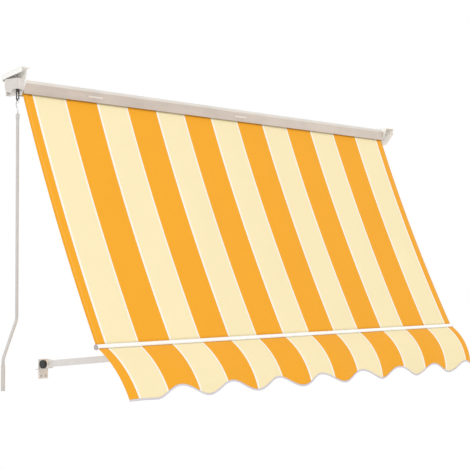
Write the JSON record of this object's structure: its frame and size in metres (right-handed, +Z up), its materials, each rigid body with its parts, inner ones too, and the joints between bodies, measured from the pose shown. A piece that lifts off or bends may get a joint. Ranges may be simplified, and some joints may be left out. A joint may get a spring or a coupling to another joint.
{
  "type": "drop-arm window awning",
  "caption": "Roller awning with a sloping striped canopy, a front bar with a scalloped valance, folding arms and a hanging crank.",
  "frame": {"origin": "middle of the hood's back face, on the wall plane", "axes": "+X along the hood to the right seen from the front, +Y into the wall, +Z up; the canopy slopes down towards -Y"},
  "size_m": [2.5613, 0.6632, 1.2652],
  "materials": {
    "hood_paint": "satin beige powder coat on extruded aluminium",
    "white_paint": "satin white powder coat",
    "pale_plastic": "matte off-white",
    "black_plastic": "matte black",
    "grey_cap": "matte grey",
    "rod_paint": "satin light beige coat",
    "zinc": "zinc plated",
    "steel": "bare steel",
    "orange_cloth": "woven awning cloth with wide cream and orange stripes",
    "binding_cloth": "woven edge tape"
  },
  "bodies": {
    "wall_frame": {"hood": "hood_paint", "hood_clip_left": "pale_plastic", "hood_clip_right": "pale_plastic", "bracket_left": "white_paint", "bracket_right": "white_paint", "bracket_screw_left_high": "zinc", "bracket_screw_left_low": "zinc", "bracket_screw_right_high": "zinc", "bracket_screw_right_low": "zinc", "idle_bush": "black_plastic", "gear_housing": "pale_plastic", "gear_cover": "pale_plastic", "worm_bush": "black_plastic", "canopy": "orange_cloth", "arm_bracket_left": "white_paint", "arm_bracket_right": "white_paint", "arm_screw_left_0": "zinc", "arm_screw_left_1": "zinc", "arm_screw_right_0": "zinc", "arm_screw_right_1": "zinc", "arm_bolt_left": "zinc", "arm_bolt_right": "zinc", "arm_nut_left": "zinc", "arm_nut_right": "zinc", "pivot_cap_left": "black_plastic", "pivot_cap_right": "black_plastic"},
    "roller": {"roller_tube": "zinc", "wound_cloth": "orange_cloth", "roller_plug_left": "pale_plastic", "roller_plug_right": "pale_plastic", "worm_wheel": "zinc"},
    "worm_drive": {"worm": "steel", "crank_eye": "black_plastic"},
    "crank": {"crank_hook": "steel", "crank_ferrule": "rod_paint", "crank_rod": "rod_paint", "crank_end_cap": "pale_plastic"},
    "grip": {"crank_grip": "pale_plastic"},
    "left_arm": {"arm_tube_left": "white_paint", "arm_knuckle_left": "pale_plastic", "arm_fork_left": "pale_plastic"},
    "right_arm": {"arm_tube_right": "white_paint", "arm_knuckle_right": "pale_plastic", "arm_fork_right": "pale_plastic"},
    "bar": {"front_bar": "white_paint", "bar_cap_left": "grey_cap", "bar_cap_right": "grey_cap", "canopy_keder": "pale_plastic", "valance_keder": "pale_plastic", "bar_holder_left": "white_paint", "bar_holder_right": "white_paint", "tip_pin_left": "zinc", "tip_pin_right": "zinc", "valance": "orange_cloth", "valance_binding": "binding_cloth"}
  },
  "joints": [
    {"name": "crank_turn", "type": "hinge", "parent": "wall_frame", "child": "worm_drive", "pos_m": [-1.2285, -0.0735, 0], "axis": [0, 0, 1], "range_deg": [0, 18720], "deforming": ["canopy"]},
    {"name": "roller_spin", "type": "hinge", "parent": "wall_frame", "child": "roller", "pos_m": [0, -0.042, 0], "axis": [-1, 0, 0], "range_deg": [0, 1701.82]},
    {"name": "left_arm_fold", "type": "hinge", "parent": "wall_frame", "child": "left_arm", "pos_m": [-1.036, -0.032, -1.0733], "axis": [-1, 0, 0], "range_deg": [0, 80]},
    {"name": "right_arm_fold", "type": "hinge", "parent": "wall_frame", "child": "right_arm", "pos_m": [1.036, -0.032, -1.0733], "axis": [-1, 0, 0], "range_deg": [0, 80]},
    {"name": "bar_pivot", "type": "hinge", "parent": "left_arm", "child": "bar", "pos_m": [-1.036, -0.488, -1.0255], "axis": [-1, 0, 0], "range_deg": [-80, 0]},
    {"name": "crank_swing", "type": "hinge", "parent": "worm_drive", "child": "crank", "pos_m": [-1.2285, -0.0735, -0.0566], "axis": [-1, 0, 0], "range_deg": [-3, 60]},
    {"name": "grip_spin", "type": "hinge", "parent": "crank", "child": "grip", "pos_m": [-1.30675, -0.09013, -1.1], "axis": [0, 0, 1], "continuous": true}
  ],
  "couplings": [
    {"joint": "roller_spin", "follows": "crank_turn", "ratio": 0.090909},
    {"joint": "left_arm_fold", "follows": "crank_turn", "ratio": 0.0042735},
    {"joint": "right_arm_fold", "follows": "crank_turn", "ratio": 0.0042735},
    {"joint": "bar_pivot", "follows": "crank_turn", "ratio": -0.0042735}
  ]
}
